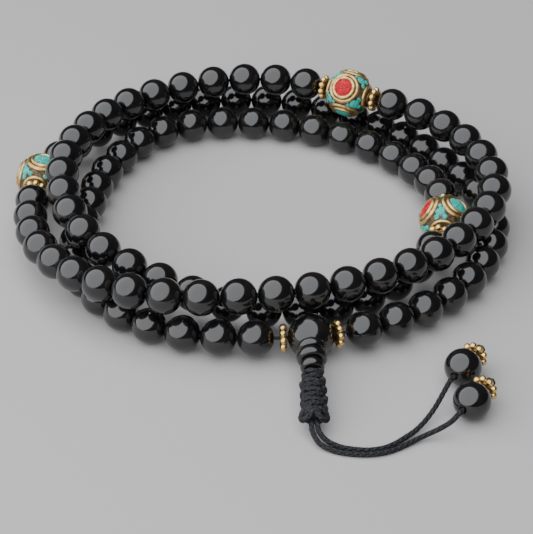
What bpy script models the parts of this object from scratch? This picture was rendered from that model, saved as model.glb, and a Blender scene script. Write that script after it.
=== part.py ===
"""Mala prayer beads: one string of 108 beads laid down as a coil of three turns, with a knotted tail.

+Z is up, the coil lies on z = 0, and the tail points to -Y. Lengths below are in millimetres.
"""
import math

import bmesh
import bpy
from mathutils import Matrix, Vector

MM = 0.001

# the coil: (radius, height) of the string at every 30 degrees from the front, anticlockwise from above
STATION_DEGREES = 30.0
FIRST_STATION_DEGREES = -90.0
LOWER_OUTER_TURN = (
    (52.0, 5.0), (54.0, 5.0), (55.0, 4.5), (54.5, 4.0), (51.0, 4.0), (53.0, 4.0),
    (55.5, 4.5), (56.0, 5.0), (55.0, 5.5), (53.5, 7.0), (54.0, 9.5), (52.5, 12.5),
)
UPPER_TURN = (
    (47.5, 13.0), (47.0, 12.5), (50.5, 12.0), (55.0, 12.0), (53.0, 12.5), (48.0, 13.5),
    (50.0, 13.5), (51.0, 12.5), (48.5, 13.5), (46.0, 14.0), (44.5, 12.0), (42.0, 9.0),
)
LOWER_INNER_TURN = (
    (42.0, 5.5), (43.0, 4.5), (43.5, 6.0), (43.5, 6.5), (42.5, 4.5), (42.0, 4.0),
    (44.0, 4.0), (46.0, 4.5), (42.0, 4.5), (40.5, 5.0), (47.5, 4.0), (51.5, 4.0),
)
ROUTE_SAMPLES = 1440
GUIDE_POINTS = 360
STRING_POINTS = 180
GURU_START = 10.5

# beads
BEAD_RADIUS = 4.0
BEAD_PITCH = 8.0
BEAD_HALF_LENGTH = 3.8
BEAD_BORE_RADIUS = 0.85
BEADS_IN_RUN = 3
RUNS_IN_QUARTER = 9
QUARTERS = 4
BEAD_SIDES = 8
BEAD_SEGMENTS = 4
LARGE_BEAD_SIDES = 12
LARGE_BEAD_SEGMENTS = 6
GURU_SIDES = 14
GURU_SEGMENTS = 8
BORE_SIDES = 10
STRING_RADIUS = 0.45

# markers, spacers and guru bead
MARKER_RADIUS = 6.0
MARKER_HALF_LENGTH = 5.7
BEZEL_RADIUS = 1.9
BEZEL_REACH = 6.15
BEZELS = 4
SPACER_LENGTH = 1.6
SPACER_BORE_RADIUS = 1.0
GRANULES = 9
GRANULE_RADIUS = 0.8
GRANULE_RING_RADIUS = 2.3
GRANULE_SWING = 70.0
SPACER_BORE_SIDES = 8
GURU_RADIUS = 5.0
GURU_HALF_LENGTH = 4.8
GURU_BORE_RADIUS = 1.2
GURU_TAIL_BORE_RADIUS = 1.5
GURU_BORE_START = 0.2
PIECE_GAP = 0.35

# tail: tower of discs, square knots, and two cords that end in beads
TOWER_START = (10.4, -57.1, 6.7)
TOWER_END = (10.4, -64.5, 5.4)
KNOT_END = (10.3, -78.9, 2.9)
DISC_RADII = (3.25, 3.25, 2.6)
DISC_GAP = 0.25
DISC_BORE_RADIUS = 1.0
DISC_FACE_WIDTH = 0.5
DISC_EDGE_SHARE = 0.6
DISC_SHOULDER_SHARE = 0.9
DISC_RIM_SHARE = 0.28
CORE_RADIUS = 0.65
KNOT_BULGES = (2.2, 2.5, 2.6, 2.7, 3.0)
KNOT_WAIST = 0.45
KNOT_FLATTENING = 0.85
KNOT_BULGE_SHARES = (0.3, 0.7)
KNOT_GAP = 0.15
KNOT_BORE_RADIUS = 1.1
KNOT_MOUTH_RADIUS = 1.7
KNOT_MOUTH_DEPTH = 3.5
CORD_RADIUS = 0.55
STOP_KNOT_RADIUS = 1.25
STOP_KNOT_SIDES = 10
STOP_KNOT_RINGS = 7
END_BEAD_HALF_LENGTH = 3.8
STRAIGHT_BEFORE_BEAD = 1.6
CORE_IN_GURU = 2.4
CORE_SHORT_OF_END = 1.6
END_BEAD_A = (42.0, -61.7, 4.1)
END_BEAD_A_AXIS = (0.56, 0.83, 0.0)
END_BEAD_B = (42.7, -73.3, 4.1)
END_BEAD_B_AXIS = (0.58, 0.81, 0.0)
CORD_A_ROUTE = (
    (10.9, -77.9, 2.9), (10.9, -79.3, 2.7), (11.3, -80.8, 2.1), (12.8, -82.4, 1.2), (15.4, -83.6, 0.6),
    (18.2, -84.4, 0.6), (21.0, -84.7, 0.6), (24.0, -84.1, 0.6), (26.4, -82.7, 0.6), (28.6, -80.9, 0.7),
    (31.0, -78.8, 1.0), (33.2, -76.1, 1.5), (35.2, -73.1, 2.2), (36.8, -70.3, 3.1), (38.0, -68.1, 3.8),
)
CORD_B_ROUTE = (
    (9.7, -77.9, 2.9), (9.7, -79.4, 2.7), (10.0, -81.1, 2.1), (11.4, -83.3, 1.1), (14.4, -85.0, 0.6),
    (17.8, -85.9, 0.6), (21.0, -86.1, 0.6), (24.3, -85.5, 0.6), (27.3, -84.0, 0.6), (30.2, -82.1, 0.8),
    (32.9, -80.8, 1.3), (35.6, -80.0, 2.2), (37.9, -79.2, 3.3),
)


def clear_scene():
    """Remove whatever the file holds, so that the model starts from nothing."""
    for item in list(bpy.data.objects):
        bpy.data.objects.remove(item, do_unlink=True)


def collection(name):
    """Make a collection in the scene."""
    made = bpy.data.collections.new(name)
    bpy.context.scene.collection.children.link(made)
    return made


def material(name, colour, roughness, metallic=0.0):
    """Make a Principled BSDF material."""
    made = bpy.data.materials.new(name)
    made.use_nodes = True
    shader = made.node_tree.nodes["Principled BSDF"]
    shader.inputs["Base Color"].default_value = (*colour, 1.0)
    shader.inputs["Roughness"].default_value = roughness
    shader.inputs["Metallic"].default_value = metallic
    return made


def along(direction):
    """Rotation that turns +Z to a direction."""
    return Vector(direction).to_track_quat("Z", "Y").to_matrix().to_4x4()


def add_object(name, data, group, look, matrix=None):
    """Link an object and give it its material and place."""
    made = bpy.data.objects.new(name, data)
    group.objects.link(made)
    if not made.data.materials:
        made.data.materials.append(look)
    made.matrix_world = matrix or Matrix.Identity(4)
    return made


def profile_mesh(name, outline):
    """A closed outline in the XZ plane, in millimetres, for a Screw modifier."""
    made = bpy.data.meshes.new(name)
    form = bmesh.new()
    corners = [form.verts.new((x * MM, 0.0, z * MM)) for x, z in outline]
    for index, corner in enumerate(corners):
        form.edges.new((corners[index - 1], corner))
    form.to_mesh(made)
    form.free()
    return made


def turn(item, sides):
    """Turn the object's outline about its own Z axis."""
    screw = item.modifiers.new("turn", "SCREW")
    screw.axis = "Z"
    screw.angle = math.tau
    screw.steps = sides
    screw.render_steps = sides
    screw.use_merge_vertices = True
    screw.merge_threshold = 0.00001
    screw.use_smooth_shade = True


def bead_outline(radius, half_length, bore, segments, centres=(0.0,)):
    """Outer side of round beads in a row, top to bottom, and back up the bore."""
    tilt = math.acos(half_length / radius)
    outline = []
    for centre in sorted(centres, reverse=True):
        for step in range(segments + 1):
            angle = tilt + (math.pi - 2.0 * tilt) * step / segments
            outline.append((radius * math.sin(angle), centre + radius * math.cos(angle)))
    joints = [(a + b) / 2.0 for a, b in zip(sorted(centres), sorted(centres)[1:])]
    lowest = min(centres) - half_length
    highest = max(centres) + half_length
    return outline + [(bore, height) for height in [lowest, *joints, highest]]


def union(item, others):
    """Join other objects to an item with Boolean unions; the others are guides."""
    for other in others:
        join = item.modifiers.new("join", "BOOLEAN")
        join.operation = "UNION"
        join.object = other


def as_guide(item, guides):
    """Keep an object only as a cutter or guide."""
    for owner in list(item.users_collection):
        owner.objects.unlink(item)
    guides.objects.link(item)
    item.hide_render = True
    item.display_type = "WIRE"
    return item


def cylinder(name, radius, length, sides, matrix, guides, look):
    """A cutter or a join piece: a cylinder whose axis is its own Z, centred on its origin."""
    made = bpy.data.meshes.new(name)
    form = bmesh.new()
    bmesh.ops.create_cone(
        form, cap_ends=True, segments=sides, radius1=radius * MM, radius2=radius * MM, depth=length * MM
    )
    form.to_mesh(made)
    form.free()
    return as_guide(add_object(name, made, guides, look, matrix), guides)


# the string's route

def blend(values, place):
    """Catmull-Rom value of a closed list at a fractional place."""
    count = len(values)
    index = math.floor(place)
    f = place - index
    a, b, c, d = (values[(index + offset) % count] for offset in (-1, 0, 1, 2))
    return 0.5 * (2 * b + (c - a) * f + (2 * a - 5 * b + 4 * c - d) * f**2 + (3 * b - a - 3 * c + d) * f**3)


def coil_route():
    """Points of the whole closed string, three times round, evenly spaced in angle."""
    stations = LOWER_OUTER_TURN + UPPER_TURN + LOWER_INNER_TURN
    radii = [radius for radius, height in stations]
    heights = [height for radius, height in stations]
    points = []
    for sample in range(ROUTE_SAMPLES):
        place = len(stations) * sample / ROUTE_SAMPLES
        angle = math.radians(FIRST_STATION_DEGREES + STATION_DEGREES * place)
        radius = blend(radii, place)
        height = max(blend(heights, place), BEAD_RADIUS)
        points.append(Vector((radius * math.cos(angle), radius * math.sin(angle), height)))
    return points


class Strand:
    """The closed string, measured along its own length from the guru bead, in millimetres."""

    def __init__(self, points, start):
        self.points = points + [points[0]]
        self.lengths = [0.0]
        for before, after in zip(self.points, self.points[1:]):
            self.lengths.append(self.lengths[-1] + (after - before).length)
        self.total = self.lengths[-1]
        self.start = start

    def at(self, distance):
        """Point at a distance along the string."""
        place = (distance + self.start) % self.total
        low, high = 0, len(self.lengths) - 1
        while high - low > 1:
            middle = (low + high) // 2
            if self.lengths[middle] <= place:
                low = middle
            else:
                high = middle
        share = (place - self.lengths[low]) / (self.lengths[high] - self.lengths[low])
        return self.points[low].lerp(self.points[high], share)

    def matrix(self, distance):
        """Place and direction of a piece that is threaded at a distance."""
        reach = BEAD_PITCH / 4.0
        direction = self.at(distance + reach) - self.at(distance - reach)
        return Matrix.Translation(self.at(distance) * MM) @ along(direction)


def string_layout(total):
    """Distances of the runs, markers and spacers along the string; any slack is beside the guru bead."""
    run_length = BEADS_IN_RUN * BEAD_PITCH
    quarter = RUNS_IN_QUARTER * run_length
    end_gap = BEAD_PITCH - 2.0 * BEAD_HALF_LENGTH
    marker_zone = 2.0 * (MARKER_HALF_LENGTH + SPACER_LENGTH + 2.0 * PIECE_GAP) - end_gap
    used = QUARTERS * quarter + (QUARTERS - 1) * marker_zone
    guru_zone = total - used
    runs, markers, spacers = [], [], []
    start = guru_zone / 2.0
    spacer_offset = MARKER_HALF_LENGTH + PIECE_GAP + SPACER_LENGTH / 2.0
    for number in range(QUARTERS):
        for run in range(RUNS_IN_QUARTER):
            runs.append(start + (run + 0.5) * run_length)
        start += quarter + marker_zone
        if number < QUARTERS - 1:
            middle = start - marker_zone / 2.0
            markers.append(middle)
            spacers += [middle - spacer_offset, middle + spacer_offset]
    guru_offset = GURU_HALF_LENGTH + PIECE_GAP + SPACER_LENGTH / 2.0
    spacers += [guru_offset, total - guru_offset]
    return runs, markers, spacers


def tube(name, points, radius, group, look, closed=False, rings=1):
    """A cord: a POLY curve through points in millimetres, with a round section."""
    data = bpy.data.curves.new(name, "CURVE")
    data.dimensions = "3D"
    data.bevel_depth = radius * MM
    data.bevel_resolution = rings
    data.use_fill_caps = not closed
    spline = data.splines.new("POLY")
    spline.points.add(len(points) - 1)
    for corner, point in zip(spline.points, points):
        corner.co = (*(Vector(point) * MM), 1.0)
    spline.use_cyclic_u = closed
    return add_object(name, data, group, look)


def meshed(item):
    """Make a curve object a mesh with its caps welded."""
    view = bpy.context.evaluated_depsgraph_get()
    made = bpy.data.meshes.new_from_object(item.evaluated_get(view))
    form = bmesh.new()
    form.from_mesh(made)
    bmesh.ops.remove_doubles(form, verts=form.verts, dist=0.000001)
    form.to_mesh(made)
    form.free()
    name, place, owner = item.name, item.matrix_world.copy(), item.users_collection[0]
    look = item.data.materials[0]
    bpy.data.objects.remove(item, do_unlink=True)
    return add_object(name, made, owner, look, place)


# pieces on the loop

def bead_runs(strand, runs, parts, guides, look):
    """Each run is three beads with one bore, bent along the string."""
    route = [strand.at(strand.total * step / GUIDE_POINTS) for step in range(GUIDE_POINTS)]
    guide = as_guide(tube("string_guide", route, 0.0, guides, look, closed=True), guides)
    guide.data.use_deform_bounds = False
    centres = [(index - (BEADS_IN_RUN - 1) / 2.0) * BEAD_PITCH for index in range(BEADS_IN_RUN)]
    outline = bead_outline(BEAD_RADIUS, BEAD_HALF_LENGTH, BEAD_BORE_RADIUS, BEAD_SEGMENTS, centres)
    shared = profile_mesh("bead_run", outline)
    for number, distance in enumerate(runs, start=1):
        place = Matrix.Translation((0.0, 0.0, distance * MM))
        run = add_object(f"bead_run_{number:02d}", shared, parts, look, place)
        turn(run, BEAD_SIDES)
        bend = run.modifiers.new("follow_string", "CURVE")
        bend.object = guide
        bend.deform_axis = "POS_Z"


def loop_string(strand, parts, look):
    """The string through every bore of the loop."""
    points = [strand.at(strand.total * step / STRING_POINTS) for step in range(STRING_POINTS)]
    tube("string_loop", points, STRING_RADIUS, parts, look, closed=True, rings=0)


def marker(number, place, parts, guides, look):
    """A round metal bead with four raised round settings about its middle."""
    outline = bead_outline(MARKER_RADIUS, MARKER_HALF_LENGTH, BEAD_BORE_RADIUS, LARGE_BEAD_SEGMENTS)
    body = add_object(f"marker_bead_{number}", profile_mesh("marker", outline), parts, look, place)
    turn(body, LARGE_BEAD_SIDES)
    settings = []
    depth = BEZEL_REACH / 2.0
    for index in range(BEZELS):
        aim = Matrix.Rotation(math.tau * (index + 0.5) / BEZELS, 4, "Z") @ Matrix.Rotation(math.pi / 2, 4, "Y")
        shift = Matrix.Translation((0.0, 0.0, (BEZEL_REACH - depth / 2.0) * MM))
        name = f"marker_{number}_setting_{index + 1}"
        settings.append(cylinder(name, BEZEL_RADIUS, depth, BORE_SIDES, place @ aim @ shift, guides, look))
    union(body, settings)


def granulated_ring(name, place, parts, look):
    """A flat ring whose rim is a row of round granules."""
    data = bpy.data.curves.new(name, "CURVE")
    data.dimensions = "2D"
    data.fill_mode = "BOTH"
    data.extrude = SPACER_LENGTH / 2.0 * MM
    outer = []
    for granule in range(GRANULES):
        middle = math.tau * granule / GRANULES
        for swing in (-GRANULE_SWING, 0.0, GRANULE_SWING):
            angle = middle + math.radians(swing)
            x = GRANULE_RING_RADIUS * math.cos(middle) + GRANULE_RADIUS * math.cos(angle)
            y = GRANULE_RING_RADIUS * math.sin(middle) + GRANULE_RADIUS * math.sin(angle)
            outer.append((x, y))
    bore = [(SPACER_BORE_RADIUS * math.cos(a), SPACER_BORE_RADIUS * math.sin(a))
            for a in (math.tau * step / SPACER_BORE_SIDES for step in range(SPACER_BORE_SIDES))]
    for outline in (outer, bore):
        spline = data.splines.new("POLY")
        spline.points.add(len(outline) - 1)
        for corner, (x, y) in zip(spline.points, outline):
            corner.co = (x * MM, y * MM, 0.0, 1.0)
        spline.use_cyclic_u = True
    add_object(name, data, parts, look, place)


def guru_bead(place, tail_direction, parts, guides, look):
    """The three-hole bead: one bore for the loop and one from the middle out to the tail."""
    outline = bead_outline(GURU_RADIUS, GURU_HALF_LENGTH, GURU_BORE_RADIUS, GURU_SEGMENTS)
    bead = add_object("guru_bead", profile_mesh("guru", outline), parts, look, place)
    turn(bead, GURU_SIDES)
    aim = Matrix.Translation(place.to_translation()) @ along(tail_direction)
    shift = Matrix.Translation((0.0, 0.0, (GURU_RADIUS / 2.0 + GURU_BORE_START) * MM))
    cutter = cylinder("guru_tail_bore", GURU_TAIL_BORE_RADIUS, GURU_RADIUS, BORE_SIDES, aim @ shift, guides, look)
    cut = bead.modifiers.new("tail_bore", "BOOLEAN")
    cut.operation = "DIFFERENCE"
    cut.object = cutter


# pieces on the tail

def tower(parts, look):
    """Three discs on the string ends between the guru bead and the knots."""
    start, end = Vector(TOWER_START), Vector(TOWER_END)
    axis = (end - start).normalized()
    length = (end - start).length
    share = length / len(DISC_RADII)
    for index, radius in enumerate(DISC_RADII):
        half = (share - DISC_GAP) / 2.0
        face = DISC_BORE_RADIUS + DISC_FACE_WIDTH
        edge = radius - half * DISC_EDGE_SHARE
        shoulder = half * DISC_SHOULDER_SHARE
        rim = half * DISC_RIM_SHARE
        outline = [
            (face, half), (edge, shoulder), (radius, rim), (radius, -rim), (edge, -shoulder), (face, -half),
            (DISC_BORE_RADIUS, -half), (DISC_BORE_RADIUS, half),
        ]
        middle = start + axis * share * (index + 0.5)
        place = Matrix.Translation(middle * MM) @ along(axis)
        disc = add_object(f"tower_disc_{index + 1}", profile_mesh("disc", outline), parts, look, place)
        turn(disc, LARGE_BEAD_SIDES)


def square_knots(parts, look):
    """A sleeve of flat square knots on the string ends, with a wider bore where the two cords leave."""
    start, end = Vector(TOWER_END), Vector(KNOT_END)
    top = (end - start).length / 2.0
    share = 2.0 * top / len(KNOT_BULGES)
    outline = [(KNOT_BULGES[0] - KNOT_WAIST, top - KNOT_GAP)]
    for index, bulge in enumerate(KNOT_BULGES):
        height = top - share * index
        outline += [(bulge, height - share * drop) for drop in KNOT_BULGE_SHARES]
        outline.append((bulge - KNOT_WAIST, height - share))
    outline += [(KNOT_MOUTH_RADIUS, -top), (KNOT_BORE_RADIUS, KNOT_MOUTH_DEPTH - top)]
    outline.append((KNOT_BORE_RADIUS, top - KNOT_GAP))
    flatten = Matrix.Diagonal((1.0, KNOT_FLATTENING, 1.0, 1.0))
    place = Matrix.Translation((start + end) / 2.0 * MM) @ along(start - end) @ flatten
    turn(add_object("square_knots", profile_mesh("knots", outline), parts, look, place), LARGE_BEAD_SIDES)


def smooth_route(points, per_span=2):
    """Catmull-Rom curve through an open list of points."""
    line = [Vector(point) for point in points]
    line = [line[0] * 2 - line[1], *line, line[-1] * 2 - line[-2]]
    made = []
    for a, b, c, d in zip(line, line[1:], line[2:], line[3:]):
        for step in range(per_span):
            f = step / per_span
            made.append(0.5 * (2 * b + (c - a) * f + (2 * a - 5 * b + 4 * c - d) * f**2
                               + (3 * b - a - 3 * c + d) * f**3))
    made.append(line[-2])
    return made


def tail_core(guru_centre, parts, look):
    """The string ends inside the guru bead's bore, the tower and the knots."""
    bore_axis = (Vector(TOWER_START) - guru_centre).normalized()
    knot_axis = (Vector(KNOT_END) - Vector(TOWER_END)).normalized()
    first = Vector(TOWER_START) - bore_axis * CORE_IN_GURU
    last = Vector(KNOT_END) - knot_axis * CORE_SHORT_OF_END
    tube("tail_core", [first, TOWER_START, TOWER_END, last], CORE_RADIUS, parts, look, rings=2)


def tail_cord(name, route, bead_centre, bead_axis, parts, guides, look):
    """A free cord from the knots to its stop knot, straight where the end bead is threaded."""
    axis = Vector(bead_axis).normalized()
    middle = Vector(bead_centre)
    cap_middle = END_BEAD_HALF_LENGTH + PIECE_GAP + SPACER_LENGTH / 2.0
    stop = cap_middle + SPACER_LENGTH / 2.0 + PIECE_GAP + STOP_KNOT_RADIUS
    straight = [middle + axis * reach for reach in (-END_BEAD_HALF_LENGTH - STRAIGHT_BEFORE_BEAD, 0.0, stop)]
    cord = meshed(tube(name, smooth_route([*route, straight[0]]) + straight[1:], CORD_RADIUS, parts, look))
    form = bmesh.new()
    bmesh.ops.create_uvsphere(
        form, u_segments=STOP_KNOT_SIDES, v_segments=STOP_KNOT_RINGS, radius=STOP_KNOT_RADIUS * MM
    )
    ball = bpy.data.meshes.new(name + "_stop")
    form.to_mesh(ball)
    form.free()
    place = Matrix.Translation(straight[-1] * MM) @ along(axis)
    knot = as_guide(add_object(name + "_stop", ball, guides, look, place), guides)
    union(cord, [knot])


def end_bead(letter, bead_centre, bead_axis, parts, stone, gold):
    """A round bead at the end of a cord, with a granulated cap behind it."""
    axis = Vector(bead_axis).normalized()
    outline = bead_outline(BEAD_RADIUS, BEAD_HALF_LENGTH, BEAD_BORE_RADIUS, LARGE_BEAD_SEGMENTS)
    place = Matrix.Translation(Vector(bead_centre) * MM) @ along(axis)
    turn(add_object(f"end_bead_{letter}", profile_mesh("end_bead", outline), parts, stone, place), LARGE_BEAD_SIDES)
    reach = BEAD_HALF_LENGTH + PIECE_GAP + SPACER_LENGTH / 2.0
    cap = Matrix.Translation((Vector(bead_centre) + axis * reach) * MM) @ along(axis)
    granulated_ring(f"end_cap_{letter}", cap, parts, gold)


def build():
    """Make every piece."""
    clear_scene()
    parts = collection("mala_prayer_beads")
    guides = collection("guides")
    stone = material("black_stone", (0.012, 0.012, 0.014), 0.08)
    metal = material("aged_brass", (0.55, 0.4, 0.2), 0.4, 1.0)
    gold = material("gold", (0.83, 0.6, 0.27), 0.25, 1.0)
    thread = material("black_cord", (0.02, 0.02, 0.022), 0.75)

    strand = Strand(coil_route(), GURU_START)
    runs, markers, spacers = string_layout(strand.total)
    bead_runs(strand, runs, parts, guides, stone)
    loop_string(strand, parts, thread)
    for number, distance in enumerate(markers, start=1):
        marker(number, strand.matrix(distance), parts, guides, metal)
    for number, distance in enumerate(spacers, start=1):
        granulated_ring(f"spacer_{number}", strand.matrix(distance), parts, gold)
    guru_centre = strand.at(0.0)
    guru_bead(strand.matrix(0.0), Vector(TOWER_START) - guru_centre, parts, guides, stone)

    tower(parts, stone)
    square_knots(parts, thread)
    tail_core(guru_centre, parts, thread)
    tail_cord("cord_a", CORD_A_ROUTE, END_BEAD_A, END_BEAD_A_AXIS, parts, guides, thread)
    tail_cord("cord_b", CORD_B_ROUTE, END_BEAD_B, END_BEAD_B_AXIS, parts, guides, thread)
    end_bead("a", END_BEAD_A, END_BEAD_A_AXIS, parts, stone, gold)
    end_bead("b", END_BEAD_B, END_BEAD_B_AXIS, parts, stone, gold)


build()
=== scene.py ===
"""Looks of the mala prayer beads: fine beads, inlaid markers, gold rings, square knots and braided cords.

Lengths are in millimetres until a mesh is made, and the places are those of the CAD model.
"""
import math
import random

import bpy
import numpy as np
from mathutils import Matrix, Vector, noise


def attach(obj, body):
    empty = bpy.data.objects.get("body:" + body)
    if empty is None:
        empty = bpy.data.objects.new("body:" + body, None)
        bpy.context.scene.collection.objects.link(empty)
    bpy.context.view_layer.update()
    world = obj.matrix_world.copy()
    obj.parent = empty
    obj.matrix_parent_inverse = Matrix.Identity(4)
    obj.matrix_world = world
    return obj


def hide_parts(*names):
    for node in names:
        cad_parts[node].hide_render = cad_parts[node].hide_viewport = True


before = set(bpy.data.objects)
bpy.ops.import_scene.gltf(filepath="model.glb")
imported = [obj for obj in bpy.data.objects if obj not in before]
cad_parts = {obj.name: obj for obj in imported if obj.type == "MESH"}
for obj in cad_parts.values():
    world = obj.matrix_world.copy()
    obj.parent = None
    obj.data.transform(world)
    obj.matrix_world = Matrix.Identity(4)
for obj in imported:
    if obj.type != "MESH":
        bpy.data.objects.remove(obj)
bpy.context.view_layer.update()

MM = 0.001
STRAND = "strand"

# the coil: (radius, height) of the string at every 30 degrees from the front, as in the CAD model
STATION_DEGREES = 30.0
FIRST_STATION_DEGREES = -90.0
LOWER_OUTER_TURN = (
    (52.0, 5.0), (54.0, 5.0), (55.0, 4.5), (54.5, 4.0), (51.0, 4.0), (53.0, 4.0),
    (55.5, 4.5), (56.0, 5.0), (55.0, 5.5), (53.5, 7.0), (54.0, 9.5), (52.5, 12.5),
)
UPPER_TURN = (
    (47.5, 13.0), (47.0, 12.5), (50.5, 12.0), (55.0, 12.0), (53.0, 12.5), (48.0, 13.5),
    (50.0, 13.5), (51.0, 12.5), (48.5, 13.5), (46.0, 14.0), (44.5, 12.0), (42.0, 9.0),
)
LOWER_INNER_TURN = (
    (42.0, 5.5), (43.0, 4.5), (43.5, 6.0), (43.5, 6.5), (42.5, 4.5), (42.0, 4.0),
    (44.0, 4.0), (46.0, 4.5), (42.0, 4.5), (40.5, 5.0), (47.5, 4.0), (51.5, 4.0),
)
ROUTE_SAMPLES = 1440
GURU_START = 10.5

# sizes shared with the CAD model
BEAD_RADIUS = 4.0
BEAD_PITCH = 8.0
BEAD_HALF_LENGTH = 3.8
BEADS_IN_RUN = 3
RUNS_IN_QUARTER = 9
QUARTERS = 4
MARKER_HALF_LENGTH = 5.7
SPACER_LENGTH = 1.6
GURU_RADIUS = 5.0
GURU_HALF_LENGTH = 4.8
PIECE_GAP = 0.35
TOWER_START = (10.4, -57.1, 6.7)
TOWER_END = (10.4, -64.5, 5.4)
KNOT_END = (10.3, -78.9, 2.9)
DISC_RADII = (3.25, 3.25, 2.6)
DISC_GAP = 0.25
CORD_RADIUS = 0.55
STOP_KNOT_RADIUS = 1.25
CORDS = {
    "a": {
        "bead": (42.0, -61.7, 4.1),
        "axis": (0.56, 0.83, 0.0),
        "route": (
            (10.9, -77.9, 2.9), (10.9, -79.3, 2.7), (11.3, -80.8, 2.1), (12.8, -82.4, 1.2),
            (15.4, -83.6, 0.6), (18.2, -84.4, 0.6), (21.0, -84.7, 0.6), (24.0, -84.1, 0.6),
            (26.4, -82.7, 0.6), (28.6, -80.9, 0.7), (31.0, -78.8, 1.0), (33.2, -76.1, 1.5),
            (35.2, -73.1, 2.2), (36.8, -70.3, 3.1), (38.0, -68.1, 3.8),
        ),
    },
    "b": {
        "bead": (42.7, -73.3, 4.1),
        "axis": (0.58, 0.81, 0.0),
        "route": (
            (9.7, -77.9, 2.9), (9.7, -79.4, 2.7), (10.0, -81.1, 2.1), (11.4, -83.3, 1.1),
            (14.4, -85.0, 0.6), (17.8, -85.9, 0.6), (21.0, -86.1, 0.6), (24.3, -85.5, 0.6),
            (27.3, -84.0, 0.6), (30.2, -82.1, 0.8), (32.9, -80.8, 1.3), (35.6, -80.0, 2.2),
            (37.9, -79.2, 3.3),
        ),
    },
}

# beads: bore radius, width of the rounded lip, rings from end to end, and sides
BLACK_BEAD = (0.62, 0.2, 30, 52)
TAIL_BEAD = (0.75, 0.25, 34, 64)
GURU_BEAD = (0.9, 0.3, 44, 80)
MARKER_BEAD = (0.85, 0.3, 40, 80)
LIP_OUT = 0.35
LIP_DOWN = 0.12
BEAD_SEED = 108
SMALLEST_BEAD = 0.992
SHARP_DEGREES = 50.0

# camera
CAMERA_PLACE = (-3.3, -383.6, 241.0)
CAMERA_AIM = (1.45, -16.8, 0.0)
CAMERA_LENS = 129.0
CAMERA_SENSOR = 36.0
CAMERA_CLIP = 0.01


# routes and places

def along(direction):
    """Rotation that turns +Z to a direction."""
    return Vector(direction).to_track_quat("Z", "Y").to_matrix().to_4x4()


def spline_value(a, b, c, d, f):
    """Catmull-Rom value between b and c."""
    return 0.5 * (2 * b + (c - a) * f + (2 * a - 5 * b + 4 * c - d) * f**2 + (3 * b - a - 3 * c + d) * f**3)


def closed_value(values, place):
    """Catmull-Rom value of a closed list at a fractional place."""
    index = math.floor(place)
    near = (values[(index + offset) % len(values)] for offset in (-1, 0, 1, 2))
    return spline_value(*near, place - index)


def smooth_route(points, per_span=2):
    """Catmull-Rom curve through an open list of points."""
    line = [Vector(point) for point in points]
    line = [line[0] * 2 - line[1], *line, line[-1] * 2 - line[-2]]
    made = []
    for a, b, c, d in zip(line, line[1:], line[2:], line[3:]):
        made += [spline_value(a, b, c, d, step / per_span) for step in range(per_span)]
    made.append(line[-2])
    return made


def evenly(points, spacing):
    """The same polyline with points at an even spacing."""
    points = [Vector(point) for point in points]
    steps = [0.0]
    for before, after in zip(points, points[1:]):
        steps.append(steps[-1] + (after - before).length)
    count = max(2, round(steps[-1] / spacing))
    wanted = np.linspace(0.0, steps[-1], count + 1)
    axes = [np.interp(wanted, steps, [point[axis] for point in points]) for axis in range(3)]
    return [Vector(point) for point in zip(*axes)]


class Strand:
    """The closed string, measured along its own length from the guru bead."""

    def __init__(self):
        stations = LOWER_OUTER_TURN + UPPER_TURN + LOWER_INNER_TURN
        radii = [radius for radius, height in stations]
        heights = [height for radius, height in stations]
        self.points = []
        for sample in range(ROUTE_SAMPLES):
            place = len(stations) * sample / ROUTE_SAMPLES
            angle = math.radians(FIRST_STATION_DEGREES + STATION_DEGREES * place)
            radius = closed_value(radii, place)
            height = max(closed_value(heights, place), BEAD_RADIUS)
            self.points.append(Vector((radius * math.cos(angle), radius * math.sin(angle), height)))
        self.points.append(self.points[0])
        self.lengths = [0.0]
        for before, after in zip(self.points, self.points[1:]):
            self.lengths.append(self.lengths[-1] + (after - before).length)
        self.total = self.lengths[-1]

    def at(self, distance):
        """Point at a distance along the string."""
        place = (distance + GURU_START) % self.total
        return Vector([np.interp(place, self.lengths, [p[axis] for p in self.points]) for axis in range(3)])

    def matrix(self, distance):
        """Place and direction of a piece that is threaded at a distance."""
        reach = BEAD_PITCH / 4.0
        direction = self.at(distance + reach) - self.at(distance - reach)
        return Matrix.Translation(self.at(distance)) @ along(direction)


def string_layout(total):
    """Distances of the bead runs, markers and spacers along the string."""
    run_length = BEADS_IN_RUN * BEAD_PITCH
    quarter = RUNS_IN_QUARTER * run_length
    end_gap = BEAD_PITCH - 2.0 * BEAD_HALF_LENGTH
    marker_zone = 2.0 * (MARKER_HALF_LENGTH + SPACER_LENGTH + 2.0 * PIECE_GAP) - end_gap
    guru_zone = total - QUARTERS * quarter - (QUARTERS - 1) * marker_zone
    spacer_offset = MARKER_HALF_LENGTH + PIECE_GAP + SPACER_LENGTH / 2.0
    runs, markers, spacers = [], [], []
    start = guru_zone / 2.0
    for number in range(QUARTERS):
        runs += [start + (run + 0.5) * run_length for run in range(RUNS_IN_QUARTER)]
        start += quarter + marker_zone
        if number < QUARTERS - 1:
            middle = start - marker_zone / 2.0
            markers.append(middle)
            spacers += [middle - spacer_offset, middle + spacer_offset]
    guru_offset = GURU_HALF_LENGTH + PIECE_GAP + SPACER_LENGTH / 2.0
    return runs, markers, spacers + [guru_offset, total - guru_offset]


# mesh shapes: each is (vertices, faces, uvs per vertex, material index per face)

def joined(shapes):
    """Several shapes as one."""
    vertices, faces, uvs, looks = [], [], [], []
    for points, sides, places, indices in shapes:
        base = len(vertices)
        vertices += points
        uvs += places
        faces += [tuple(corner + base for corner in side) for side in sides]
        looks += indices
    return vertices, faces, uvs, looks


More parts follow.
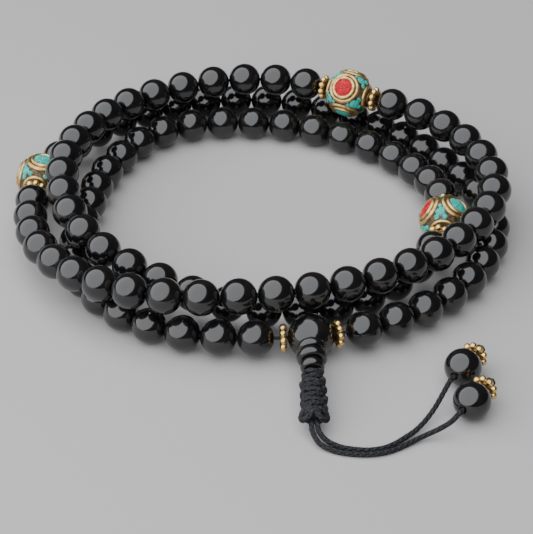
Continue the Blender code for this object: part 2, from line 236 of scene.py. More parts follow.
def moved(shape, matrix, look=None):
    """A shape moved by a matrix, with another material index if one is given."""
    points, faces, uvs, looks = shape
    if look is not None:
        looks = [look] * len(faces)
    return [matrix @ Vector(point) for point in points], faces, uvs, looks


def grid_shape(rows, look=0, wrap_rows=False):
    """A surface from rows of points that close on themselves, with uvs in millimetres along the rows."""
    count = len(rows[0])
    points = [point for row in rows for point in row]
    uvs, travelled = [], 0.0
    for index, row in enumerate(rows):
        if index:
            travelled += (Vector(row[0]) - Vector(rows[index - 1][0])).length
        uvs += [(step / count, travelled) for step in range(count)]
    faces = []
    spans = len(rows) if wrap_rows else len(rows) - 1
    for row in range(spans):
        low, high = row * count, (row + 1) % len(rows) * count
        for step in range(count):
            after = (step + 1) % count
            faces.append((low + step, low + after, high + after, high + step))
    return points, faces, uvs, [look] * len(faces)


def lathe(profile, sides, look=0):
    """A closed outline turned about Z: it runs down the outside and back up the bore."""
    turns = [math.tau * step / sides for step in range(sides)]
    rows = [[(x * math.cos(turn), -x * math.sin(turn), z) for turn in turns] for x, z in profile]
    return grid_shape(rows, look, wrap_rows=True)


def bead_profile(radius, bore, edge, segments):
    """A round bead with a small rounded lip at each mouth of its bore."""
    lip = math.asin((bore + edge) / radius)
    outer = []
    for step in range(segments + 1):
        angle = lip + (math.pi - 2.0 * lip) * step / segments
        outer.append((radius * math.sin(angle), radius * math.cos(angle)))
    mouth = radius * math.cos(lip)
    lip_radius, lip_height = bore + edge * LIP_OUT, mouth - edge * LIP_DOWN
    inner = [(lip_radius, -lip_height), (bore, -mouth + edge), (bore, mouth - edge), (lip_radius, lip_height)]
    return outer + inner


def bead_shape(radius, kind):
    """A round bead of one kind, given as its bore, lip, rings and sides."""
    bore, edge, segments, sides = kind
    return lathe(bead_profile(radius, bore, edge, segments), sides)


def swept(points, radius, sides):
    """A closed tube along points; radius is a number or a function of (share round, distance along)."""
    rows = []
    direction = (points[1] - points[0]).normalized()
    side = direction.orthogonal().normalized()
    travelled = 0.0
    for index, point in enumerate(points):
        before, after = points[max(index - 1, 0)], points[min(index + 1, len(points) - 1)]
        direction = (after - before).normalized()
        side = (side - direction * side.dot(direction)).normalized()
        up = direction.cross(side)
        if index:
            travelled += (point - points[index - 1]).length
        row = []
        for step in range(sides):
            angle = -math.tau * step / sides
            reach = radius(step / sides, travelled) if callable(radius) else radius
            row.append(tuple(point + (side * math.cos(angle) + up * math.sin(angle)) * reach))
        rows.append(row)
    vertices, faces, uvs, looks = grid_shape(rows)
    last = (len(rows) - 1) * sides
    faces += [tuple(reversed(range(sides))), tuple(range(last, last + sides))]
    looks += [0, 0]
    return vertices, faces, uvs, looks


def piece(name, shape, looks, body, replaces=(), place=None):
    """Make a shown piece from a shape in millimetres, and let it ride on a body."""
    points, faces, uvs, indices = shape
    mesh = bpy.data.meshes.new(name)
    matrix = place or Matrix.Identity(4)
    mesh.from_pydata([tuple(matrix @ Vector(p) * MM) for p in points], [], faces)
    layer = mesh.uv_layers.new(name="surface")
    corners = np.array([corner for face in faces for corner in face])
    layer.data.foreach_set("uv", np.array(uvs, dtype=float)[corners].ravel())
    for look in looks:
        mesh.materials.append(look)
    mesh.polygons.foreach_set("material_index", indices)
    mesh.shade_smooth()
    mesh.set_sharp_from_angle(angle=math.radians(SHARP_DEGREES))
    made = bpy.data.objects.new(name, mesh)
    bpy.context.scene.collection.objects.link(made)
    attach(made, body)
    if replaces:
        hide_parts(*replaces)
    return made


# materials

NEARLY_BLACK = (0.0035, 0.0035, 0.004)
BROWN_BLACK = (0.010, 0.008, 0.0065)
PALE_BRASS = (0.74, 0.52, 0.225)
BROWN_BRASS = (0.32, 0.2, 0.075)
DARK_RESIN = (0.045, 0.03, 0.018)
BROWN_RESIN = (0.19, 0.125, 0.055)
BRIGHT_GOLD = (0.90, 0.63, 0.25)
WORN_GOLD = (0.42, 0.26, 0.09)
# painted shade: the two darker browns of the gold between the granules, where shade falls
SHADE_BROWN_GOLD = (0.27, 0.16, 0.055)
SHADE_DARK_GOLD = (0.10, 0.06, 0.022)
THREAD_DARK = (0.005, 0.005, 0.006)
THREAD_LIGHT = (0.03, 0.03, 0.033)
CORD_DARK = (0.0015, 0.0015, 0.002)
CORD_LIGHT = (0.036, 0.036, 0.039)
CORAL_BRIGHT = (0.66, 0.020, 0.028)
CORAL_DEEP = (0.40, 0.008, 0.013)
CORAL_SEAM = (0.05, 0.006, 0.006)
TURQUOISE_BRIGHT = (0.055, 0.55, 0.46)
TURQUOISE_DEEP = (0.02, 0.38, 0.33)
TURQUOISE_SEAM = (0.012, 0.10, 0.09)
CHIP_SCALE = 1500.0
WARP_SCALE = 1800.0
CHIP_WARP = (0.0003, 0.0003, 0.0003)
FIBRE_STRETCH = (26.0, 2.2, 1.0)


def material(name, **values):
    """A Principled material with its plain values set on the shader."""
    made = bpy.data.materials.new(name)
    made.use_nodes = True
    shader = made.node_tree.nodes["Principled BSDF"]
    for socket, value in values.items():
        shader.inputs[socket.replace("_", " ")].default_value = value
    return made


def node(look, kind, inputs=None, **settings):
    """Add a shader node; inputs are values or sockets of other nodes."""
    made = look.node_tree.nodes.new(kind)
    for key, value in settings.items():
        setattr(made, key, value)
    for key, value in (inputs or {}).items():
        if isinstance(value, bpy.types.NodeSocket):
            look.node_tree.links.new(value, made.inputs[key])
        else:
            made.inputs[key].default_value = value
    return made


def feed(look, **sockets):
    """Connect sockets to the shader's inputs."""
    shader = look.node_tree.nodes["Principled BSDF"]
    for name, socket in sockets.items():
        look.node_tree.links.new(socket, shader.inputs[name.replace("_", " ")])


def noise_of(look, scale, detail=3.0, roughness=0.55):
    """A noise pattern fixed to the piece."""
    place = node(look, "ShaderNodeTexCoord").outputs["Object"]
    inputs = {"Vector": place, "Scale": scale, "Detail": detail, "Roughness": roughness}
    return node(look, "ShaderNodeTexNoise", inputs).outputs["Fac"]


def remap(look, value, low, high, to_low=0.0, to_high=1.0):
    """Spread values between low and high over another range, and stop at its ends."""
    inputs = {"Value": value, "From Min": low, "From Max": high, "To Min": to_low, "To Max": to_high}
    return node(look, "ShaderNodeMapRange", inputs).outputs["Result"]


def mixed(look, share, first, second):
    """One colour turning into another."""
    made = node(look, "ShaderNodeMix", data_type="RGBA")
    for socket, value in zip((made.inputs[0], made.inputs[6], made.inputs[7]), (share, first, second)):
        if isinstance(value, bpy.types.NodeSocket):
            look.node_tree.links.new(value, socket)
        else:
            socket.default_value = (*value, 1.0)
    return made.outputs[2]


def worked_out(look, operation, first, second):
    """Two values put together by a plain operation."""
    return node(look, "ShaderNodeMath", {0: first, 1: second}, operation=operation).outputs["Value"]


def bumped(look, height, strength, distance):
    """Relief on the surface."""
    made = node(look, "ShaderNodeBump", {"Height": height, "Strength": strength, "Distance": distance})
    feed(look, Normal=made.outputs["Normal"])


def stone_look():
    """Polished black stone: nearly black, with a faint brown cloud and very fine wear."""
    look = material("black_stone", IOR=1.55, Coat_Weight=0.3, Coat_Roughness=0.02)
    cloud = remap(look, noise_of(look, scale=260.0), low=0.35, high=0.75)
    feed(look, Base_Color=mixed(look, cloud, NEARLY_BLACK, BROWN_BLACK))
    wear = noise_of(look, scale=1500.0, detail=5.0)
    feed(look, Roughness=remap(look, wear, low=0.3, high=0.8, to_low=0.07, to_high=0.2))
    bumped(look, noise_of(look, scale=900.0, detail=2.0), strength=0.08, distance=0.00005)
    return look


def brass_look():
    """Pale worn brass wire, browner in patches."""
    look = material("worn_brass", Metallic=1.0)
    patch = remap(look, noise_of(look, scale=900.0, detail=6.0), low=0.38, high=0.68)
    feed(look, Base_Color=mixed(look, patch, PALE_BRASS, BROWN_BRASS))
    wear = noise_of(look, scale=2200.0, detail=4.0)
    feed(look, Roughness=remap(look, wear, low=0.3, high=0.7, to_low=0.3, to_high=0.52))
    bumped(look, noise_of(look, scale=2600.0, detail=4.0), strength=0.35, distance=0.00006)
    return look


def patina_look():
    """The dark metal and resin between the wires and stones."""
    look = material("dark_patina", Metallic=0.55, Roughness=0.62)
    patch = remap(look, noise_of(look, scale=1300.0, detail=6.0), low=0.4, high=0.7)
    feed(look, Base_Color=mixed(look, patch, DARK_RESIN, BROWN_RESIN))
    bumped(look, noise_of(look, scale=2400.0, detail=6.0), strength=0.8, distance=0.00012)
    return look


def gold_look():
    """Warm gold plating, darker where it is worn."""
    look = material("gold_plating", Metallic=1.0)
    patch = remap(look, noise_of(look, scale=1400.0, detail=5.0), low=0.42, high=0.75)
    feed(look, Base_Color=mixed(look, patch, BRIGHT_GOLD, WORN_GOLD))
    wear = noise_of(look, scale=2500.0)
    feed(look, Roughness=remap(look, wear, low=0.3, high=0.7, to_low=0.2, to_high=0.38))
    bumped(look, noise_of(look, scale=3000.0), strength=0.2, distance=0.00004)
    return look


def recess_shade_look():
    """Gold painted a darker brown between the grains: painted shade of the recess, in random patches."""
    look = material("gold_painted_recess_shade", Metallic=1.0)
    patch = remap(look, noise_of(look, scale=1900.0, detail=5.0), low=0.4, high=0.68)
    feed(look, Base_Color=mixed(look, patch, SHADE_BROWN_GOLD, SHADE_DARK_GOLD))
    wear = noise_of(look, scale=2600.0)
    feed(look, Roughness=remap(look, wear, low=0.3, high=0.7, to_low=0.42, to_high=0.62))
    bumped(look, noise_of(look, scale=3200.0), strength=0.3, distance=0.00005)
    return look


def thread_look():
    """Matt black thread with a fine fibrous grain."""
    look = material("thread", IOR=1.45, Specular_IOR_Level=0.25)
    fibre = noise_of(look, scale=3600.0, detail=5.0, roughness=0.65)
    feed(look, Base_Color=mixed(look, remap(look, fibre, low=0.4, high=0.66), THREAD_DARK, THREAD_LIGHT))
    wear = noise_of(look, scale=1500.0)
    feed(look, Roughness=remap(look, wear, low=0.3, high=0.7, to_low=0.62, to_high=0.85))
    bumped(look, fibre, strength=0.5, distance=0.00006)
    return look


def cord_look():
    """Charcoal braided nylon: fine fibres with a soft sheen, stretched along the cord."""
    look = material("black_cord", IOR=1.45, Specular_IOR_Level=0.25)
    place = node(look, "ShaderNodeTexCoord").outputs["UV"]
    stretch = node(look, "ShaderNodeMapping", {"Vector": place, "Scale": FIBRE_STRETCH}).outputs["Vector"]
    fibre = node(look, "ShaderNodeTexNoise", {"Vector": stretch, "Scale": 1.0, "Detail": 4.0}).outputs["Fac"]
    feed(look, Base_Color=mixed(look, remap(look, fibre, low=0.43, high=0.62), CORD_DARK, CORD_LIGHT))
    feed(look, Roughness=remap(look, fibre, low=0.3, high=0.7, to_low=0.45, to_high=0.75))
    bumped(look, fibre, strength=0.6, distance=0.00008)
    return look


def inlay_look(name, bright, deep, seam):
    """Crushed stone set in resin: angular chips of slightly different colours with darker seams."""
    look = material(name, IOR=1.5, Specular_IOR_Level=0.15)
    place = node(look, "ShaderNodeTexCoord").outputs["Object"]
    warp = node(look, "ShaderNodeTexNoise", {"Vector": place, "Scale": WARP_SCALE, "Detail": 2.0})
    shift = node(look, "ShaderNodeVectorMath", {0: warp.outputs["Color"], 1: CHIP_WARP}, operation="MULTIPLY")
    spot = node(look, "ShaderNodeVectorMath", {0: place, 1: shift.outputs["Vector"]}, operation="ADD")
    where = {"Vector": spot.outputs["Vector"], "Scale": CHIP_SCALE}
    chip_colour = node(look, "ShaderNodeTexVoronoi", where).outputs["Color"]
    tone = node(look, "ShaderNodeSeparateColor", {"Color": chip_colour}).outputs["Red"]
    edge = node(look, "ShaderNodeTexVoronoi", where, feature="DISTANCE_TO_EDGE").outputs["Distance"]
    chips = mixed(look, remap(look, tone, low=0.0, high=1.0), deep, bright)
    gap = remap(look, edge, low=0.015, high=0.07, to_low=1.0, to_high=0.0)
    specks = remap(look, noise_of(look, scale=2600.0, detail=2.0), low=0.61, high=0.68)
    shade = worked_out(look, "MAXIMUM", gap, specks)
    seam_share = remap(look, shade, low=0.0, high=1.0, to_low=0.0, to_high=0.8)
    feed(look, Base_Color=mixed(look, seam_share, chips, seam))
    feed(look, Roughness=remap(look, tone, low=0.0, high=1.0, to_low=0.25, to_high=0.5))
    bumped(look, worked_out(look, "SUBTRACT", tone, shade), strength=0.5, distance=0.00008)
    return look


STONE = stone_look()
BRASS = brass_look()
PATINA = patina_look()
GOLD = gold_look()
CORAL = inlay_look("coral_inlay", CORAL_BRIGHT, CORAL_DEEP, CORAL_SEAM)
TURQUOISE = inlay_look("turquoise_inlay", TURQUOISE_BRIGHT, TURQUOISE_DEEP, TURQUOISE_SEAM)
CORD = cord_look()
# gold painted darker as shade in the recesses between granules
GOLD_PAINTED_SHADE = recess_shade_look()
THREAD = thread_look()


# the camera

def add_camera():
    """The camera of the main view."""
    data = bpy.data.cameras.new("camera")
    data.sensor_width = CAMERA_SENSOR
    data.sensor_fit = "HORIZONTAL"
    data.lens = CAMERA_LENS
    data.clip_start = CAMERA_CLIP
    camera = bpy.data.objects.new("camera", data)
    bpy.context.scene.collection.objects.link(camera)
    aim = Vector(CAMERA_AIM) - Vector(CAMERA_PLACE)
    camera.location = Vector(CAMERA_PLACE) * MM
    camera.rotation_mode = "QUATERNION"
    camera.rotation_quaternion = aim.to_track_quat("-Z", "Y")
    bpy.context.scene.camera = camera
    return camera


# gold rings

GRANULES = 9
GRANULE_RADIUS = 0.8
GRANULE_RING_RADIUS = 2.3
GRANULE_SIDES = 20
GRANULE_RINGS = 12
CORE_RING_RADIUS = 1.62
CORE_HALF_WIDTH = 0.52
CORE_HALF_LENGTH = 0.74
CORE_STEPS = 14
CORE_SIDES = 48


def ball(radius, sides, rings):
    """A small closed ball."""
    rows = []
    for ring in range(1, rings):
        angle = math.pi * ring / rings
        out, height = radius * math.sin(angle), radius * math.cos(angle)
        turns = [math.tau * step / sides for step in range(sides)]
        rows.append([(out * math.cos(turn), -out * math.sin(turn), height) for turn in turns])
    points, faces, uvs, looks = grid_shape(rows)
    top, low = len(points), len(points) + 1
    points += [(0.0, 0.0, radius), (0.0, 0.0, -radius)]
    uvs += [(0.0, 0.0), (0.0, 0.0)]
    last = (rings - 2) * sides
    for step in range(sides):
        after = (step + 1) % sides
        faces += [(top, after, step), (low, last + step, last + after)]
        looks += [0, 0]
    return points, faces, uvs, looks


def granulated_ring(name, place, body, node_name):
    """A ring of soldered granules round a core whose gold is painted dark brown as shade."""
    shapes = []
    for granule in range(GRANULES):
        angle = math.tau * granule / GRANULES
        middle = Vector((math.cos(angle), math.sin(angle), 0.0)) * GRANULE_RING_RADIUS
        shapes.append(moved(ball(GRANULE_RADIUS, GRANULE_SIDES, GRANULE_RINGS), Matrix.Translation(middle)))
    core = []
    for step in reversed(range(CORE_STEPS)):
        angle = math.tau * step / CORE_STEPS
        radius = CORE_RING_RADIUS + CORE_HALF_WIDTH * math.cos(angle)
        core.append((radius, CORE_HALF_LENGTH * math.sin(angle)))
    # the core between the granules gets the painted shade material
    shapes.append(lathe(core, CORE_SIDES, 1))
    return piece(name, joined(shapes), [GOLD, GOLD_PAINTED_SHADE], body, [node_name], place)


# the tail cords

BRAID_STRANDS = 4
BRAID_PITCH = 1.5
BRAID_DEPTH = 0.8
BRAID_SWELL = 1.03
CORD_SIDES = 28
CORD_SPACING = 0.12
CORD_SPANS = 6
STRAIGHT_BEFORE_BEAD = 1.6
STOP_CORD_RADIUS = 0.5
STOP_KNOT_STEPS = 72
STOP_KNOT_RISE = 1.3
STOP_KNOT_BRAID = 0.05
STOP_CORE_HEIGHTS = (-0.9, 0.0, 0.9, 1.15)
STOP_SIDES = 16


def braid(share, travelled):
    """Radius of a round braid: two families of strands that cross."""
    around, forward = math.pi * share * BRAID_STRANDS, math.pi * travelled / BRAID_PITCH
    high = max(abs(math.cos(around + forward)), abs(math.cos(around - forward)))
    return CORD_RADIUS * (BRAID_SWELL - BRAID_DEPTH * (1.0 - high))


def stop_distance():
    """How far behind the middle of the end bead the cord's stop knot is."""
    return BEAD_HALF_LENGTH + 2.0 * PIECE_GAP + SPACER_LENGTH + STOP_KNOT_RADIUS


def cord_line(facts):
    """The centreline of a tail cord, from the knots to its stop knot."""
    axis = Vector(facts["axis"]).normalized()
    middle = Vector(facts["bead"])
    reaches = (-BEAD_HALF_LENGTH - STRAIGHT_BEFORE_BEAD, 0.0, stop_distance())
    straight = [middle + axis * reach for reach in reaches]
    return smooth_route([*facts["route"], straight[0]], CORD_SPANS) + straight[1:]


def stop_braid(share, travelled):
    """Radius of the cord in a stop knot, where hardly any braid relief is left."""
    return STOP_CORD_RADIUS * (1.0 - STOP_KNOT_BRAID + STOP_KNOT_BRAID * braid(share, travelled))


def stop_knot():
    """A small tight overhand knot on a short end of cord."""
    points = []
    for step in range(STOP_KNOT_STEPS + 1):
        t = math.tau * step / STOP_KNOT_STEPS
        x = math.sin(t) + 2.0 * math.sin(2.0 * t)
        y = math.cos(t) - 2.0 * math.cos(2.0 * t)
        z = -STOP_KNOT_RISE * math.sin(3.0 * t)
        points.append(Vector((x, y, z)) * (STOP_KNOT_RADIUS - STOP_CORD_RADIUS) / 3.0)
    core = [Vector((0.0, 0.0, height)) for height in STOP_CORE_HEIGHTS]
    return joined([swept(points, stop_braid, STOP_SIDES), swept(core, STOP_CORD_RADIUS, STOP_SIDES)])


def tail_cord(letter):
    """A braided cord with its bead, granulated cap and stop knot."""
    facts = CORDS[letter]
    body = f"cord_{letter}_body"
    axis = Vector(facts["axis"]).normalized()
    line = cord_line(facts)
    shape = swept(evenly(line, CORD_SPACING), braid, CORD_SIDES)
    cord = piece(f"braided_cord_{letter}", shape, [CORD], body, [f"cord_{letter}"])

    turned = along(axis)
    stop = Matrix.Translation(line[-1]) @ turned
    knot = piece(f"stop_knot_{letter}", stop_knot(), [CORD], body, place=stop)
    bead_place = Matrix.Translation(Vector(facts["bead"])) @ turned
    shape = bead_shape(BEAD_RADIUS, TAIL_BEAD)
    bead = piece(f"tail_bead_{letter}", shape, [STONE], f"end_bead_{letter}_body", [f"end_bead_{letter}"],
                 bead_place)
    reach = BEAD_HALF_LENGTH + PIECE_GAP + SPACER_LENGTH / 2.0
    cap_place = Matrix.Translation(Vector(facts["bead"]) + axis * reach) @ turned
    cap = granulated_ring(f"granulated_cap_{letter}", cap_place, f"end_cap_{letter}_body",
                          f"end_cap_{letter}")


# black beads, the guru bead and the discs

TAIL_HOLE_RADIUS = 1.35
TAIL_HOLE_LENGTH = 8.0
TAIL_HOLE_SIDES = 40
TAIL_HOLE_CENTRE = 0.001
HOLE_BEVEL = 0.18
HOLE_BEVEL_SEGMENTS = 3
HOLE_BEVEL_DEGREES = 40.0
DISC_RIM = 1.25
DISC_FULLNESS = 0.75
DISC_STEPS = 20
DISC_SIDES = 64
DISC_FACE_RADIUS = 1.2
DISC_BORE = 1.0
DISC_CHAMFER = 0.15


def bead_runs(strand, runs):
    """Fine round beads, three to a piece as in the CAD model, each turned by chance."""
    chance = random.Random(BEAD_SEED)
    for number, distance in enumerate(runs, start=1):
        shapes = []
        for bead in range(BEADS_IN_RUN):
            spot = distance + (bead - (BEADS_IN_RUN - 1) / 2.0) * BEAD_PITCH
            spin = Matrix.Rotation(chance.uniform(0.0, math.tau), 4, "Z")
            radius = BEAD_RADIUS * chance.uniform(SMALLEST_BEAD, 1.0)
            shapes.append(moved(bead_shape(radius, BLACK_BEAD), strand.matrix(spot) @ spin))
        name, node_name = f"black_beads_{number:02d}", f"bead_run_{number:02d}"
        piece(name, joined(shapes), [STONE], STRAND, [node_name])


def guru(place):
    """The three-hole bead with its bore to the tail."""
    direction = Vector(TOWER_START) - place.to_translation()
    shape = bead_shape(GURU_RADIUS, GURU_BEAD)
    made = piece("guru_bead_polished", shape, [STONE], "guru", ["guru_bead"], place)
    profile = [
        (TAIL_HOLE_RADIUS, TAIL_HOLE_LENGTH), (TAIL_HOLE_RADIUS, 0.0),
        (TAIL_HOLE_CENTRE, 0.0), (TAIL_HOLE_CENTRE, TAIL_HOLE_LENGTH),
    ]
    cutter = piece("tail_hole", lathe(profile, TAIL_HOLE_SIDES), [STONE], "guru",
                   place=Matrix.Translation(place.to_translation()) @ along(direction))
    cut = made.modifiers.new("tail_hole", "BOOLEAN")
    cut.operation = "DIFFERENCE"
    cut.object = cutter
    bevel = made.modifiers.new("edge", "BEVEL")
    bevel.width = HOLE_BEVEL * MM
    bevel.segments = HOLE_BEVEL_SEGMENTS
    bevel.limit_method = "ANGLE"
    bevel.angle_limit = math.radians(HOLE_BEVEL_DEGREES)
    shown = bpy.data.meshes.new_from_object(made.evaluated_get(bpy.context.evaluated_depsgraph_get()))
    made.modifiers.clear()
    made.data = shown
    bpy.data.objects.remove(cutter)


def disc_profile(radius, half):
    """A disc with a full round rim and a small chamfer inside its bore."""
    rim = []
    for step in range(DISC_STEPS + 1):
        angle = math.pi * step / DISC_STEPS
        bulge = math.sin(angle) ** DISC_FULLNESS
        rim.append((radius - DISC_RIM + DISC_RIM * bulge, half * math.cos(angle)))
    bore = [(DISC_BORE, -half + DISC_CHAMFER), (DISC_BORE, half - DISC_CHAMFER)]
    return [(DISC_FACE_RADIUS, half), *rim, (DISC_FACE_RADIUS, -half), *bore]


def tower():
    """Three polished discs between the guru bead and the knots."""
    start, end = Vector(TOWER_START), Vector(TOWER_END)
    axis = (end - start).normalized()
    share = (end - start).length / len(DISC_RADII)
    for index, radius in enumerate(DISC_RADII):
        shape = lathe(disc_profile(radius, (share - DISC_GAP) / 2.0), DISC_SIDES)
        place = Matrix.Translation(start + axis * share * (index + 0.5)) @ along(axis)
        number = index + 1
        piece(f"black_disc_{number}", shape, [STONE], f"tower_disc_{number}_body", [f"tower_disc_{number}"],
              place)


# inlaid markers: angles are in degrees from a setting's middle, and rises are from the waist toward an end

MARKER_BODY = 5.62
MARKER_WIRES = 5.72
MARKER_STONES = 5.78
SETTINGS = 4
WAIST_WIRES = ((22.5, 31.5, 0.34), (33.0, 43.0, 0.26))
WAIST_STONE = 23.8
END_RING = (25.5, 33.5, 0.22)
MOUTH_RING = (10.0, 15.0, 0.16)
MOUTH_RING_DROP = 0.16
CHIP_FIELD = ((0.0, 36.5, 11.5), (-15.5, 49.0, 6.0), (15.5, 49.0, 6.0), (0.0, 20.5, 4.8))
CHIP_SIDES = 28
CHIP_WOBBLE = 0.36
WAIST_STONE_SIDES = 60
WAIST_STONE_WOBBLE = 0.03
CHIP_SHARES = (0.0001, 0.3, 0.55, 0.75, 0.9, 0.97, 1.0, 1.02)
CHIP_SHOULDER = 0.75
CHIP_EDGE_DROP = 0.14
CHIP_ROOT = 0.5
CHIP_LUMP = 0.05
OUTLINE_WAVES = 1.6
LUMP_WAVES = 3.0
OUTLINE_SEED_STEP = 7.3
LUMP_SEED_STEP = 3.1
WIRE_STEPS = 8
WIRE_FULLNESS = 0.6
WIRE_ROOT = 0.45
WIRE_SIDES = 72
# where a setting of each marker faces, as right, up and toward the camera, and its turn from there
MARKER_FACINGS = (((-0.5, 0.1, 0.86), 45.0), ((-0.16, 0.15, 0.975), 0.0), ((-0.74, 0.04, 0.67), 0.0))


def band(inner, outer, height, base=MARKER_WIRES):
    """A raised wire on a ball, round its own +Z axis, between two angles in degrees."""
    profile = []
    for step in range(WIRE_STEPS + 1):
        share = step / WIRE_STEPS
        angle = math.radians(inner + (outer - inner) * share)
        reach = base + height * math.sin(math.pi * share) ** WIRE_FULLNESS
        profile.append((reach * math.sin(angle), reach * math.cos(angle)))
    low = base - WIRE_ROOT
    for angle in (outer, inner):
        profile.append((low * math.sin(math.radians(angle)), low * math.cos(math.radians(angle))))
    return lathe(profile, WIRE_SIDES)


def chip(spread, seed, sides, wobble):
    """An uneven stone chip on a ball, round its own +Z axis; spread is its half angle in degrees."""
    rows = []
    for share in CHIP_SHARES:
        row = []
        for step in range(sides):
            turn = math.tau * step / sides
            across, up = math.cos(turn), math.sin(turn)
            outline = Vector((OUTLINE_WAVES * across, OUTLINE_WAVES * up, seed * OUTLINE_SEED_STEP))
            angle = math.radians(spread * share * (1.0 + wobble * noise.noise(outline)))
            waves = LUMP_WAVES * share
            lump = CHIP_LUMP * noise.noise(Vector((waves * across, waves * up, seed * LUMP_SEED_STEP)))
            drop = CHIP_EDGE_DROP * max(0.0, share - CHIP_SHOULDER) / (1.0 - CHIP_SHOULDER)
            if share == CHIP_SHARES[-1]:
                drop += CHIP_ROOT
            length = MARKER_STONES + lump - drop
            out = length * math.sin(angle)
            row.append((out * across, -out * up, length * math.cos(angle)))
        rows.append(row)
    return grid_shape(rows)


def aimed(turn_degrees, rise_degrees):
    """Rotation that points +Z to a place on a marker: degrees round the string and toward its end."""
    turn = Matrix.Rotation(math.radians(turn_degrees), 4, "Z")
    return turn @ Matrix.Rotation(math.radians(90.0 - rise_degrees), 4, "Y")


def marker(number, place, facing, spin):
    """A round bead of brass settings; a coral one faces a direction, or is turned from it by spin degrees."""
    local = place.to_3x3().inverted() @ Vector(facing)
    turned = place @ Matrix.Rotation(math.atan2(local.y, local.x) + math.radians(spin), 4, "Z")
    metal = [bead_shape(MARKER_BODY, MARKER_BEAD)]
    stones = []
    quarter_turn = 360.0 / SETTINGS
    for setting in range(SETTINGS):
        aim = aimed(quarter_turn * setting, 0.0)
        metal += [moved(band(*wire), aim, 1) for wire in WAIST_WIRES]
        stone = chip(WAIST_STONE, number * 10 + setting, WAIST_STONE_SIDES, WAIST_STONE_WOBBLE)
        stones.append(moved(stone, aim, setting % 2))
        for end in (1.0, -1.0):
            middle = quarter_turn * (setting + 0.5)
            seed = number * 40 + setting * 8 + end
            for order, (turn_by, rise, spread) in enumerate(CHIP_FIELD):
                spot = aimed(middle + turn_by, end * rise)
                stones.append(moved(chip(spread, seed + order, CHIP_SIDES, CHIP_WOBBLE), spot, 1))
    for flip in (Matrix.Identity(4), Matrix.Rotation(math.pi, 4, "X")):
        metal.append(moved(band(*END_RING), flip, 1))
        metal.append(moved(band(*MOUTH_RING, MARKER_WIRES - MOUTH_RING_DROP), flip, 1))
    body = f"marker_bead_{number}_body"
    piece(f"marker_metal_{number}", joined(metal), [PATINA, BRASS], body, [f"marker_bead_{number}"], turned)
    piece(f"marker_inlay_{number}", joined(stones), [CORAL, TURQUOISE], body, place=turned)


# the knotted slide: across, toward the viewer, and up along the knots

KNOT_SEED = 27
KNOT_CORD = 0.62
KNOT_RELIEF = 0.7
HALF_KNOTS = 9
KNOT_PITCH = 1.31
KNOT_REACH = (1.35, 2.0)
KNOTS_TO_FULL_REACH = 3.0
KNOT_DEPTH = 1.14
FIRST_KNOT_BELOW_TOP = 0.95
CORD_END_BELOW_TOP = 0.75
KNOT_SIDES = 22
KNOT_SPACING = 0.16
KNOT_SPANS = 8
LOOP_SWELL = 1.08
FRONT_START = (-0.4, 0.2)
BACK_START = (0.4, -0.2)
FRONT_END = (-1.8, 0.65)
BACK_END = (1.8, -0.45)
LOOP_ROUTE = (
    (-0.5, 1.3, 0.9), (0.7, 1.6, 0.75), (2.0, 1.1, 0.5), (2.6, 0.2, -0.2),
    (2.35, 0.1, -1.0), (1.6, 0.95, -1.3), (0.9, 1.42, -0.85), (0.3, 1.5, -0.2),
)
BAR_ROUTE = (
    (-1.85, 0.2, 0.15), (-1.3, 1.2, 0.05), (0.0, 1.66, 0.0), (1.3, 1.2, 0.05), (1.85, 0.2, 0.15),
    (1.3, -1.1, 0.0), (0.0, -1.42, 0.0), (-1.3, -1.1, 0.0), (-1.85, 0.2, 0.15),
)
CORE_OFFSETS = (-1.15, 1.15)
CORE_RADIUS = 0.5
CORE_SPACING = 0.5
CORE_BELOW_TOP = 0.4
CORE_ABOVE_LOW = 1.3
CORE_CORD_SIDES = 16


def knot_braid(share, travelled):
    """The braid relief of the knotting cords, shallower because they are pulled tight."""
    return KNOT_CORD * (1.0 - KNOT_RELIEF + KNOT_RELIEF * braid(share, travelled) / CORD_RADIUS)


def loop_braid(share, travelled):
    """The same relief on the slightly fuller end loops."""
    return LOOP_SWELL * knot_braid(share, travelled)


def knotting_cord(route, size):
    """A knotting cord along a smooth curve through a route."""
    points = evenly(smooth_route(route, KNOT_SPANS), KNOT_SPACING)
    return swept(points, size, KNOT_SIDES)


def front_pass(side, wide, deep, z):
    """A half knot's cord that crosses in front."""
    return [
        (-side * wide, 0.05, z + KNOT_PITCH * 0.5),
        (-side * wide * 0.93, deep * 0.6, z + KNOT_PITCH * 0.14),
        (-side * wide * 0.4, deep * 1.04, z + KNOT_PITCH * 0.05),
        (side * wide * 0.4, deep * 1.04, z - KNOT_PITCH * 0.05),
        (side * wide * 0.93, deep * 0.6, z - KNOT_PITCH * 0.14),
    ]


def back_pass(side, wide, deep, z):
    """A half knot's cord that bulges at the side and crosses behind."""
    return [
        (side * (wide + 0.28), 0.75, z + KNOT_PITCH * 0.45),
        (side * (wide + 0.2), -0.1, z + KNOT_PITCH * 0.12),
        (side * wide * 0.7, -deep * 0.85, z + KNOT_PITCH * 0.1),
        (0.0, -deep * 1.05, z),
        (-side * wide * 0.7, -deep * 0.85, z - KNOT_PITCH * 0.1),
    ]


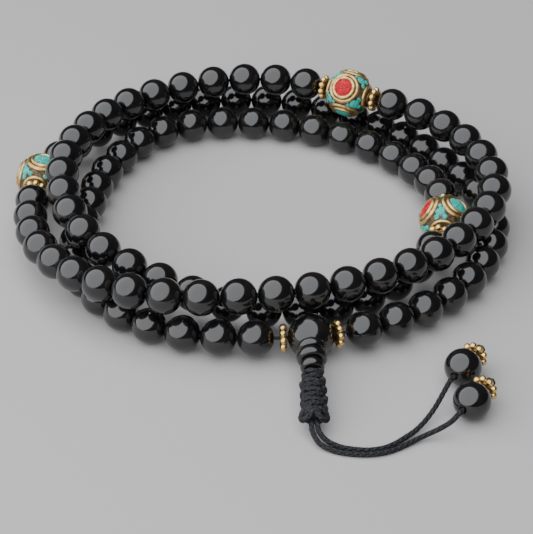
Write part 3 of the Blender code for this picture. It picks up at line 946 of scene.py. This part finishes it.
def square_knots():
    """Flat square knots: one cord crosses in front, the other behind, and each bulges where it turns back."""
    start, end = Vector(TOWER_END), Vector(KNOT_END)
    top = (end - start).length / 2.0
    first = top - FIRST_KNOT_BELOW_TOP
    low = first - KNOT_PITCH * HALF_KNOTS
    front = [(*FRONT_START, top - CORD_END_BELOW_TOP)]
    back = [(*BACK_START, top - CORD_END_BELOW_TOP)]
    chance = random.Random(KNOT_SEED)
    for index in range(HALF_KNOTS):
        side = 1.0 if index % 2 else -1.0
        wide = KNOT_REACH[0] + (KNOT_REACH[1] - KNOT_REACH[0]) * min(1.0, index / KNOTS_TO_FULL_REACH)
        wide *= chance.uniform(0.95, 1.05)
        deep = KNOT_DEPTH * chance.uniform(0.94, 1.04)
        z = first - KNOT_PITCH * (index + chance.uniform(-0.07, 0.07))
        front += front_pass(side, wide, deep, z)
        back += back_pass(side, wide, deep, z)
    front.append((*FRONT_END, low))
    back.append((*BACK_END, low))
    shapes = [knotting_cord(front, knot_braid), knotting_cord(back, knot_braid)]
    for side in (1.0, -1.0):
        loop = [(side * across, forward, low + rise) for across, forward, rise in LOOP_ROUTE]
        shapes.append(knotting_cord(loop, loop_braid))
    bar = [(across, forward, low + rise) for across, forward, rise in BAR_ROUTE]
    shapes.append(knotting_cord(bar, knot_braid))
    for across in CORE_OFFSETS:
        core = [(across, 0.0, top - CORE_BELOW_TOP), (across, 0.0, low + CORE_ABOVE_LOW)]
        shapes.append(swept(evenly(core, CORE_SPACING), CORE_RADIUS, CORE_CORD_SIDES))
    place = Matrix.Translation((start + end) / 2.0) @ along(start - end)
    piece("macrame_slide", joined(shapes), [CORD], "knot_slide_body", ["square_knots"], place)


# the object

def build():
    """Make every shown piece."""
    camera = add_camera()
    for letter in CORDS:
        tail_cord(letter)
    strand = Strand()
    runs, markers, spacers = string_layout(strand.total)
    bead_runs(strand, runs)
    turned = camera.rotation_quaternion.to_matrix()
    for number, distance in enumerate(markers, start=1):
        facing, spin = MARKER_FACINGS[number - 1]
        marker(number, strand.matrix(distance), turned @ Vector(facing), spin)
    for number, distance in enumerate(spacers, start=1):
        granulated_ring(f"granulated_ring_{number}", strand.matrix(distance), f"spacer_{number}_body",
                        f"spacer_{number}")
    guru(strand.matrix(0.0))
    tower()
    square_knots()
    for kept in ("string_loop", "tail_core"):
        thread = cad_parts[kept]
        thread.data.materials.clear()
        thread.data.materials.append(THREAD)


# the studio: lengths here are in metres

FLOOR_HALF = 3.0
FLOOR_COLOUR = (0.40, 0.385, 0.38, 1.0)
WORLD_COLOUR = (0.93, 0.95, 1.0, 1.0)
WORLD_STRENGTH = 0.06
LIGHT_DIRECTION = (-0.46, -0.316, 0.829)
LIGHT_DISTANCE = 0.6
LIGHT_SIZE = 1.9
LIGHT_POWER = 27.0
LIGHT_COLOUR = (0.93, 0.96, 1.0)


def add_floor():
    """A pale floor under the object."""
    corners = [
        (-FLOOR_HALF, -FLOOR_HALF, 0.0), (FLOOR_HALF, -FLOOR_HALF, 0.0),
        (FLOOR_HALF, FLOOR_HALF, 0.0), (-FLOOR_HALF, FLOOR_HALF, 0.0),
    ]
    data = bpy.data.meshes.new("floor")
    data.from_pydata(corners, [], [(0, 1, 2, 3)])
    data.materials.append(material("pale_floor", Base_Color=FLOOR_COLOUR, Roughness=0.6))
    floor = bpy.data.objects.new("floor", data)
    bpy.context.scene.collection.objects.link(floor)


def add_light():
    """A faint sky, and one large soft light from high on the left."""
    world = bpy.data.worlds.new("studio")
    world.use_nodes = True
    background = world.node_tree.nodes["Background"]
    background.inputs["Color"].default_value = WORLD_COLOUR
    background.inputs["Strength"].default_value = WORLD_STRENGTH
    bpy.context.scene.world = world
    light = bpy.data.lights.new("key_softbox", "AREA")
    light.shape = "DISK"
    light.size = LIGHT_SIZE
    light.energy = LIGHT_POWER
    light.color = LIGHT_COLOUR
    lamp = bpy.data.objects.new("key_softbox", light)
    bpy.context.scene.collection.objects.link(lamp)
    lamp.visible_camera = False
    way = Vector(LIGHT_DIRECTION).normalized()
    lamp.location = way * LIGHT_DISTANCE
    lamp.rotation_mode = "QUATERNION"
    lamp.rotation_quaternion = way.to_track_quat("Z", "Y")


build()
add_floor()
add_light()
